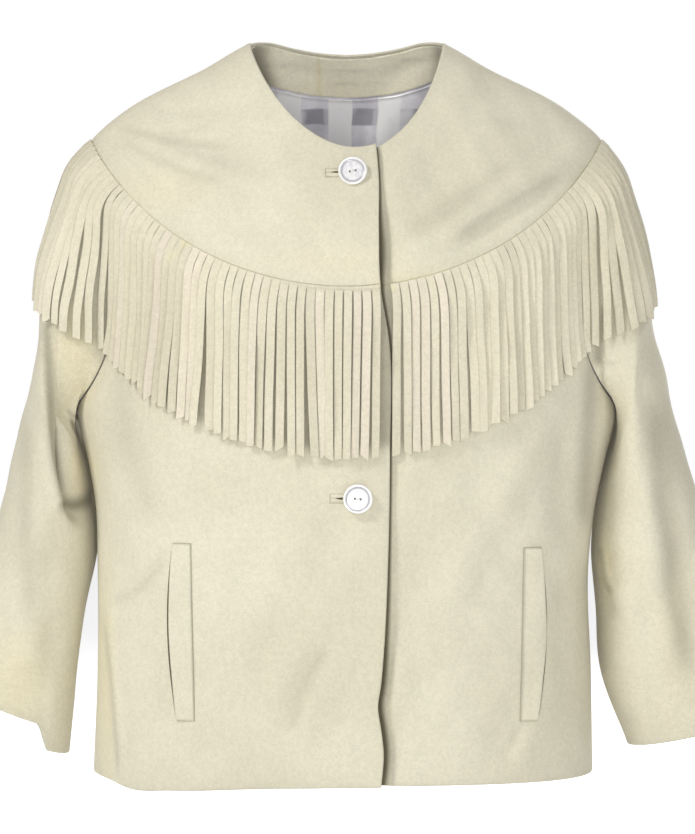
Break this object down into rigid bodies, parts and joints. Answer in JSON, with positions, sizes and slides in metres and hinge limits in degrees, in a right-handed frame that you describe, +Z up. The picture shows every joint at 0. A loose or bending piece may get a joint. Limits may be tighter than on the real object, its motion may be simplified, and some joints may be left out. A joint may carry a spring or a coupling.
{
  "type": "fringed suede jacket",
  "caption": "Short pale suede jacket with a round collarless neck, a big round yoke edged with hanging fringe, wide three-quarter sleeves and upright welt pockets.",
  "frame": {"origin": "midway between the two side-neck points, where a wearer's shoulders hold the jacket up", "axes": "+Z up, the front looks along -Y, the wearer's left is at +X"},
  "size_m": [0.7269, 0.259, 0.6498],
  "materials": {
    "suede": "matt napped suede",
    "fringe": "matt napped suede, cut in strips",
    "lining": "satin with a soft check",
    "button": "polished pearly"
  },
  "bodies": {
    "root": {"yoke_front_right": "suede", "yoke_front_left": "suede", "yoke_back": "suede", "front_right": "suede", "front_left": "suede", "back": "suede", "sleeve_right": "suede", "sleeve_left": "suede", "fringe_front_right": "fringe", "fringe_front_left": "fringe", "fringe_back": "fringe", "neck_facing": "suede", "lining_back": "lining", "pocket_welt_right": "suede", "pocket_welt_left": "suede", "button_upper": "button", "button_lower": "button", "buttonhole_upper": "suede", "buttonhole_lower": "suede"}
  },
  "joints": []
}
